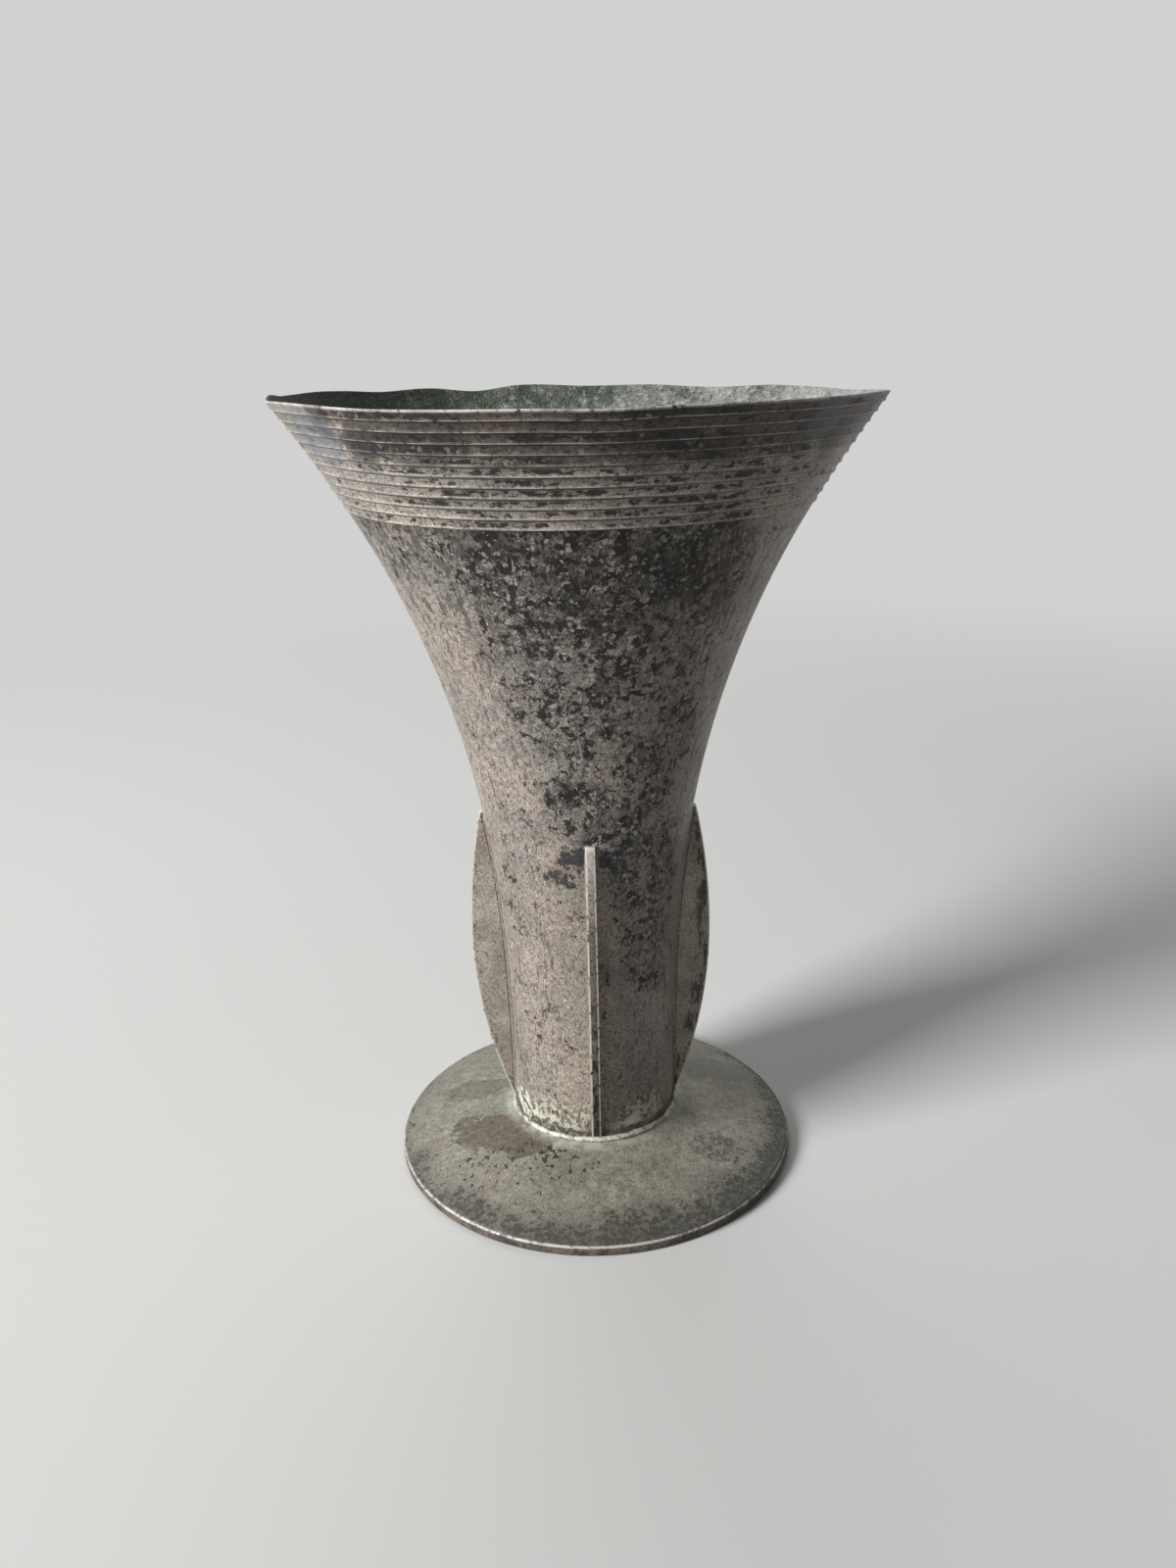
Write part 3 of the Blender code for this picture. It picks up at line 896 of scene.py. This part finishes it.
def ring_finish():
    """The stepped rings: lips burnished and painted with a highlight, painted shade and dirt under each, and
    bands with their own rows of dashes.
    """
    f = Finish("stepped_ring_plate")
    height = f.add("ShaderNodeAttribute", attribute_name="turned_height").outputs["Fac"]
    down = f.over(f.minus(VASE_HEIGHT, height), RING_PITCH)
    band = f.calc("FLOOR", f.minus(down, BAND_START))
    share = f.minus(down, band)
    lip = f.times(f.fade(share, 0.905, 0.935), f.fade(share, 1.03, 0.995))
    rim = f.reach(height, -0.9, -0.5, past=VASE_HEIGHT)

    clouds = f.noise(12, 4.0, 0.6, shift=0.4)
    grain = f.noise(1.8, 4.0, 0.65)
    fine = f.noise(0.55, 2.0, 0.6, shift=0.7)
    dash = f.noise(3.4, 3.0, 0.55, f.around(0.07, f.plus((height, 2.2), (band, 0.0137))))
    wide = f.noise(22, 3.0, 0.55, f.around(0.06, f.times(band, 0.0171)), 0.9)
    density = f.plus(darkening(f, height), f.swing(wide, 3.0), f.swing(clouds, 1.2))
    dashes = f.times(f.fade(f.plus(dash, (density, 0.15)), 0.600, 0.650),
                     f.fade(share, 0.10, 0.30), f.fade(share, 0.88, 0.70))
    turned = f.minus(f.azimuth, f.swing(clouds, 60.0))
    upper = f.times(f.fade(f.plus(band, f.swing(clouds, 6.0)), *SMOKE_BANDS),
                    f.fade(turned, *SMOKE_LEFT), f.fade(turned, *SMOKE_RIGHT))
    upper = f.most(upper, f.fade(band, *SMOKE_BANDS, 0.0, 0.25))

    f.base(clouds, 0.42, 0.6, PLATE_GREY, PLATE_WARM)
    f.coat(CLOUD, f.fade(density, 0.2, 1.0), 0.5)
    f.coat(f.mix(f.fade(wide, 0.44, 0.58), SMOKE_BROWN, SMOKE_GREY), upper, 0.92)
    f.vary(1.04, f.swing(grain, 3.2), f.swing(fine, 3.0))
    f.coat(CHARCOAL, dashes, 0.9)
    f.coat(PLATE_WARM, f.crumbs(f.cells(1.4, f.unrest(0.9, 0.35)), 0.15), f.fade(density, 0.1, 0.6), 0.50)
    f.coat(BROWN_SPECK, f.fade(f.plus(grain, (density, 0.05)), 0.61, 0.65), 0.7)
    # Dark line under each lip: painted shade below the overhang, with dirt
    f.coat(STEP_SHADE_AND_DIRT, f.fade(share, 0.24, 0.06), f.fade(grain, 0.3, 0.5), 0.85)
    # Lips and rim painted bright: burnished wear, with a painted highlight where their edges catch the light
    lip_tone = f.mix(f.fade(clouds, 0.40, 0.60), LIP_DULL, LIP_BRIGHT)
    rim_tone = f.mix(f.fade(clouds, 0.40, 0.60), RIM_DULL, RIM_BRIGHT)
    bared_and_highlit = f.most(f.times(lip, f.plus(1.0, (upper, -0.2))), rim)
    lip_wear_and_highlight = f.times(bared_and_highlit, f.fade(grain, 0.34, 0.48))
    f.coat(f.mix(rim, lip_tone, rim_tone), lip_wear_and_highlight, 0.95)
    sheen = f.fade(f.plus(f.cloudy(SHEENS, height), f.swing(dash, 2.0)), 0.3, 0.8)
    f.coat(BLUE_SHEEN, sheen, f.fade(sheen, 0.0, 0.3), f.minus(1.0, lip_wear_and_highlight), 0.5)
    f.coat(WORN_BRIGHT, f.dots(3.4, 0.20, 0.10), 0.85)

    f.bump(f.plus((grain, 0.8), (fine, 0.35), (dashes, -0.45)), 0.5, 0.18)
    return f.done(f.plus(0.42, (dashes, 0.12), (lip_wear_and_highlight, 0.12), f.swing(grain, 0.4)),
                  f.most(0.0, f.plus(0.20, (dashes, -0.16), (lip_wear_and_highlight, -0.06), (upper, -0.06))))


def lining_finish():
    """Inside: a rough scaly crust with green in it, paler towards the right, painted shade on the left, and
    runs of water down it.
    """
    f = Finish("verdigris_lining")
    clouds = f.noise(12, 4.0, 0.62)
    grain = f.noise(1.7, 4.0, 0.65)
    fine = f.noise(0.6, 2.0, 0.6, shift=0.4)
    green = f.noise(6, 3.0, 0.6, shift=1.1)
    runs = f.noise(3.0, 4.0, 0.6, f.around(0.05, f.times(f.z, 0.12)))
    edge, lot = f.cells(2.0, f.unrest(1.2, 0.6))
    paleness = f.plus(0.32, (f.side, 0.36), f.swing(clouds, 1.2), f.swing(lot, 0.28), f.swing(runs, 0.9))

    f.base(paleness, 0.00, 0.72, LINING_GREEN, LINING_PALE)
    f.coat(VERDIGRIS, f.fade(green, 0.54, 0.62), f.fade(paleness, 0.75, 0.4), 0.5)
    f.coat(LINING_DARK, f.fade(grain, 0.54, 0.60), f.fade(paleness, 0.45, 0.70, 0.7, 0.25))
    f.coat(LINING_DARK, f.fade(edge, 0.06, 0.01), f.fade(clouds, 0.42, 0.56), 0.45)
    f.coat(LINING_CHIP, f.fade(lot, 0.80, 0.84), f.fade(edge, 0.05, 0.12), f.fade(grain, 0.55, 0.48), 0.5)
    # Painted shade: the lining darkens towards the left, where its wall faces away from the key light
    f.vary(f.fade(f.side, -1.0, -0.3, 0.56, 0.84), f.swing(fine, 1.8), f.swing(clouds, 1.2))
    f.bump(f.plus(grain, (fine, 0.5), f.fade(edge, 0.0, 0.15, 0.0, 0.5)), 0.8, 0.4)
    return f.done(0.78, 0.1)


def foot_finish():
    """The foot: green-grey plate, brown patches, dark mottling by the edge and a worn arris."""
    f = Finish("foot_plate_worn")
    clouds = f.noise(9, 4.0, 0.62, shift=0.5)
    blotch = f.noise(3.4, 5.0, 0.72)
    grain = f.noise(1.5, 4.0, 0.68, shift=1.4)
    fine = f.noise(0.55, 2.0, 0.6, shift=0.8)
    loose = f.plus(f.swing(clouds, 2.2), f.swing(blotch, 1.8))
    ragged = f.times(loose, 0.6)
    outward = f.over(f.radius, FOOT_RADIUS)

    f.base(f.noise(24, 3.0, 0.55), 0.40, 0.60, FOOT_GREEN_GREY, FOOT_PALE)
    f.coat(FOOT_WARM, f.fade(f.plus(outward, f.swing(clouds, 1.5)), 0.62, 0.95), 0.7)
    f.coat(FOOT_BROWN, f.fade(clouds, 0.52, 0.64), 0.5)
    for *spot, strength in BROWN_PATCHES:
        brown = f.patch(spot, ragged)
        f.coat(FOOT_PATCH_BROWN, brown, strength)
        f.coat(FOOT_DARK, f.fade(brown, 0.05, 0.4), f.fade(brown, 1.0, 0.5), 0.5 * strength)
    # The side term paints light and shade: the foot is darker on its lit left and lighter on its shaded right
    f.vary(1.02, f.swing(blotch, 1.5), f.swing(grain, 1.6), f.swing(fine, 2.0), (f.side, 0.07))

    near = f.most(*[f.times(f.patch(spot, ragged), strength) for *spot, strength in PITTED])
    pitting = f.noise(1.6, 1.0, 0.4, f.vector(f.x, f.times(f.y, 0.60), 0.0))
    pits = f.fade(f.plus(pitting, (near, 0.11)), 0.705, 0.725)
    f.coat(FOOT_PIT, pits, f.fade(near, 0.0, 0.1), 0.85)
    to_edge = f.plus(outward, (f.side, 0.05), (f.depth, -0.085), f.swing(clouds, 0.30), f.swing(blotch, 0.50))
    dark_ring = f.fade(f.plus(to_edge, f.swing(grain, 0.6)), 0.93, 1.02)
    f.coat(FOOT_SMOKE, f.fade(to_edge, 0.87, 1.00), 0.6)
    f.coat(FOOT_DARK, dark_ring, f.fade(grain, 0.40, 0.56, 0.50, 1.0), 0.88)
    f.coat(FOOT_BRUISE, f.patch(BRUISE, f.times(loose, 0.9)), f.fade(grain, 0.46, 0.54), 0.80)
    f.coat(FOOT_SMOKE, f.patch(SMOKE_BEHIND, f.times(loose, 0.8)), 0.5)

    band = f.mix(f.fade(clouds, 0.42, 0.6), EDGE_PINK, EDGE_BROWN)
    band = f.mix(f.fade(grain, 0.50, 0.60, 0.0, 0.7), band, EDGE_DARK)
    f.coat(band, f.reach(f.radius, -0.6, -0.2, past=FOOT_RADIUS))
    arris = f.times(f.reach(f.radius, -0.6, -0.3, past=FOOT_RADIUS),
                    f.reach(f.z, -0.9, -0.6, past=FOOT_EDGE_HEIGHT))
    f.coat(WORN_BRIGHT, arris, f.fade(f.plus(grain, clouds), 0.93, 1.10, 1.0, 0.30), 0.75)
    # Painted shade on the lowest part of the foot's edge, which faces down
    f.coat(FOOT_DARK, f.reach(f.z, 0.6, 0.1), 0.5)
    collar = f.times(f.reach(f.radius, 5.0, 2.2, past=NECK_RADIUS), f.reach(f.z, 9.0, 11.0))
    f.coat(FOOT_COLLAR, collar, f.fade(blotch, 0.42, 0.56, 0.4, 1.0), 0.6)
    f.coat(WORN_BRIGHT, f.dots(5.0, 0.18, 0.07), 0.85)

    f.bump(f.plus((blotch, 0.8), (grain, 0.5), (fine, 0.3), (pits, -1.0)), 0.6, 0.18)
    return f.done(f.plus(0.44, (dark_ring, 0.12), f.swing(grain, 0.4)), f.plus(0.18, (dark_ring, -0.12)))


def fin_finish():
    """The fins: smoother plate, specks, a bright arris, and dark patches low on the outer edge."""
    f = Finish("fin_plate_worn")
    clouds = f.noise(12, 3.0, 0.6)
    grain = f.noise(1.8, 4.0, 0.65)
    fine = f.noise(0.6, 2.0, 0.6, shift=0.2)
    specks = f.noise(1.0, 2.0, 0.6, shift=2.2)
    patches = f.noise(2.4, 4.0, 0.6, f.vector(f.x, f.y, f.times(f.z, 0.30)), 3.1)

    # How far each place is from the crescent's outer edge, from its arris, and from the shell at its root
    rise = f.minus(f.z, FIN_BELLY_HEIGHT)
    bend = f.reach(rise, -0.1, 0.1, FIN_LOWER_BEND, FIN_UPPER_BEND)
    upright = f.calc("SQRT", f.minus(f.times(bend, bend), f.times(rise, rise)))
    from_edge = f.plus(BARREL_RADIUS + FIN_REACH, upright, (bend, -1.0), (f.radius, -1.0))
    from_arris = f.minus(f.plus(from_edge, FIN_THICKNESS / 2), f.calc("MINIMUM", f.size(f.x), f.size(f.y)))
    climb = f.over(f.minus(f.z, FOOT_NECK_HEIGHT), FLARE_HEIGHT)
    wall = f.plus(BARREL_RADIUS, (f.calc("POWER", climb, FLARE_POWER), RIM_RADIUS - BARREL_RADIUS))
    from_seam = f.size(f.minus(f.minus(f.radius, wall), FIN_SEAM))
    face = f.reach(from_edge, 0.4, 0.1)

    f.base(clouds, 0.42, 0.6, FIN_DULL, FIN_PALE)
    f.coat(FIN_BROWN, f.reach(f.plus(f.z, f.swing(clouds, 0.05)), *FIN_BROWN_FROM), 0.6)
    tarnished = f.reach(f.plus(f.z, f.swing(clouds, 0.06)), *FIN_TARNISH_TOP)
    f.coat(FIN_TARNISH, tarnished, face, f.fade(f.side, -0.5, -0.2), 0.85)
    f.coat(CLOUD, f.fade(grain, 0.53, 0.64), 0.4)
    f.vary(1.02, f.swing(fine, 2.4), f.swing(grain, 1.6), f.swing(clouds, 0.6))
    f.coat(CHARCOAL, f.fade(specks, 0.66, 0.70), 0.7)
    f.coat(CHARCOAL, f.reach(from_edge, 4.0, 0.8), f.fade(grain, 0.53, 0.60), 0.6)
    right_edge = f.times(f.reach(from_edge, 5.5, 3.0), f.fade(f.side, 0.5, 0.8))
    f.coat(CHARCOAL, right_edge, f.fade(patches, 0.50, 0.56), 0.75)
    low = f.reach(f.plus(f.z, f.swing(clouds, 0.12)), *FIN_DARK_TOP)
    f.coat(CHARCOAL, low, face, f.fade(patches, 0.47, 0.53), 0.85)
    worn = f.fade(grain, 0.36, 0.48)
    # Dark line on the fin along the crease at its solder strip: dirt and painted crease shade
    f.coat(CHARCOAL, f.reach(from_seam, 0.30, 0.10), f.fade(f.size(f.depth), 0.5, 0.3), worn, 0.75)
    f.coat(FIN_ARRIS_BRIGHT, f.fade(from_arris, FIN_ARRIS * 1.4, FIN_ARRIS * 0.9), worn, 0.85)
    tip = f.reach(f.z, -1.6, -0.8, 0.0, 0.4, FIN_TOP_HEIGHT)
    rubbed = f.plus(tip, f.reach(f.z, *FIN_RUBBED_FROM, 0.0, 0.45))
    touched = f.most(face, f.reach(f.z, -0.4, -0.1, past=FIN_TOP_HEIGHT))
    f.coat(WORN_BRIGHT, rubbed, touched, f.fade(grain, 0.30, 0.46))
    f.bump(f.plus((grain, 0.6), (fine, 0.3)), 0.35, 0.18)
    return f.done(f.plus(0.42, f.swing(grain, 0.4)), 0.20)


def strip_finish():
    """The run of solder beside each fin, plated over with the rest."""
    f = Finish("plated_solder_strip")
    grain = f.noise(1.8, 3.0, 0.6)
    fine = f.noise(0.6, 2.0, 0.6, shift=0.2)
    f.base(grain, 0.42, 0.58, STRIP_PALE, STRIP_DULL)
    f.coat(CLOUD, f.fade(fine, 0.58, 0.66), 0.6)
    f.bump(f.plus(grain, (fine, 0.4)), 0.4, 0.12)
    return f.done(0.48, 0.20)


def solder_finish():
    """Dull pale solder, dirty in places."""
    f = Finish("dull_solder")
    grain = f.noise(2.0, 3.0, 0.6)
    fine = f.noise(0.7, 2.0, 0.6, shift=0.5)
    f.base(f.noise(6.0, 4.0, 0.65, shift=1.2), 0.42, 0.58, SOLDER_PALE, SOLDER_DULL)
    f.coat(SOLDER_DIRT, f.fade(grain, 0.50, 0.62), 0.6)
    f.vary(1.0, f.swing(fine, 2.0))
    f.bump(f.plus(grain, (fine, 0.4)), 0.6, 0.2)
    return f.done(0.52, 0.25)


# Floor, light and camera

FLOOR_RADIUS = 6.0
FLOOR_DROP = 0.0002
FLOOR_CLOUD = 600
FLOOR_FADE = (250, 1100)
FLOOR_TONE = tone(206, 206, 204)
FLOOR_LIGHT = tone(210, 210, 208)
FLOOR_UNSEEN = tone(112, 112, 111)
PALE = 0.64
SKY_LIGHT = 0.07
LENS = 29.25
NEAR_CLIP = 0.01
CAMERA_DISTANCE = 0.3875
CAMERA_HEIGHT = 0.2640
CAMERA_SIDE = radians(0.6)
CAMERA_YAW = 0.0006
CAMERA_PITCH = 0.3342
CAMERA_ROLL = -0.0240

# Soft boxes: place, what each faces, size and power
SOFT_BOXES = (
    ("key_left_front", (-2.38, -1.33, 1.38), (0.0, 0.0, 0.12), 1.00, 150.0),
    ("fill_right", (0.95, -0.55, 0.45), (0.0, 0.0, 0.12), 0.8, 0.5),
    ("top_back", (-0.15, 0.75, 1.20), (0.0, 0.0, 0.10), 0.8, 5.5),
)


def floor_finish():
    """Plain pale floor that runs into the pale surround far off."""
    f = Finish("pale_floor")
    seen = f.seen()
    f.colour = f.mix(seen, FLOOR_UNSEEN, f.mix(f.noise(FLOOR_CLOUD, 2.0, 0.4), FLOOR_TONE, FLOOR_LIGHT))
    glow = f.add("ShaderNodeEmission", {"Color": (PALE, PALE, PALE)}).outputs[0]
    far = f.times(f.reach(f.radius, *FLOOR_FADE), seen)
    blend = f.add("ShaderNodeMixShader", {0: far, 1: f.shader.outputs[0], 2: glow}).outputs[0]
    f.feed(f.tree.nodes["Material Output"], {"Surface": blend})
    return f.done(0.85, 0.0)


def make_floor():
    deselect_all()
    bpy.ops.mesh.primitive_circle_add(vertices=128, radius=FLOOR_RADIUS, fill_type="NGON", location=(0, 0, 0))
    floor = bpy.context.object
    floor.name = floor.data.name = "pale_floor"
    edit(floor)
    bpy.ops.mesh.inset(thickness=FLOOR_RADIUS / 2)
    bpy.ops.transform.translate(value=(0, 0, -FLOOR_DROP))
    leave()
    floor.data.materials.append(floor_finish())


def make_world():
    """A pale surrounding: seen and mirrored at its full tone, and softer as a light."""
    world = bpy.data.worlds.new("pale_surround")
    bpy.context.scene.world = world
    nodes = Nodes(world)
    strength = nodes.fade(nodes.seen(), 0.0, 1.0, SKY_LIGHT, PALE)
    nodes.feed(nodes.tree.nodes["Background"], {"Color": (1.0, 1.0, 1.0), "Strength": strength})


def make_lights():
    for name, place, target, size, power in SOFT_BOXES:
        light = bpy.data.lights.new(name, "AREA")
        light.shape = "SQUARE"
        light.size = size
        light.energy = power
        lamp = bpy.data.objects.new(name, light)
        bpy.context.scene.collection.objects.link(lamp)
        lamp.location = place
        lamp.rotation_euler = (Vector(target) - Vector(place)).to_track_quat("-Z", "Y").to_euler()


def make_camera():
    """Stands where the photograph was taken from."""
    data = bpy.data.cameras.new("photo_view")
    data.lens = LENS
    data.clip_start = NEAR_CLIP
    camera = bpy.data.objects.new("photo_view", data)
    bpy.context.scene.collection.objects.link(camera)
    ahead = Vector((sin(CAMERA_YAW), cos(CAMERA_YAW), 0.0))
    forward = cos(CAMERA_PITCH) * ahead - sin(CAMERA_PITCH) * Vector((0.0, 0.0, 1.0))
    level = Vector((cos(CAMERA_YAW), -sin(CAMERA_YAW), 0.0))
    upright = level.cross(forward)
    right = cos(CAMERA_ROLL) * level + sin(CAMERA_ROLL) * upright
    up = cos(CAMERA_ROLL) * upright - sin(CAMERA_ROLL) * level
    stand = Matrix((right, up, -forward)).transposed().to_4x4()
    stand.translation = Vector((0.0, -CAMERA_DISTANCE, CAMERA_HEIGHT))
    camera.matrix_world = Matrix.Rotation(-CAMERA_SIDE, 4, "Z") @ stand
    bpy.context.scene.camera = camera


# Putting it together

make_camera()
make_world()
make_lights()
make_floor()

lining = lining_finish()
solder = solder_finish()
make_shell(flare_finish(), ring_finish(), lining)
make_foot(foot_finish())
make_fins(fin_finish())
make_foot_solder(solder)
make_fin_strips(strip_finish())

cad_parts["floor_disc"].material_slots[0].material = lining
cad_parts["floor_solder_ring"].material_slots[0].material = solder

bpy.context.scene.view_settings.view_transform = "Standard"

deselect_all()
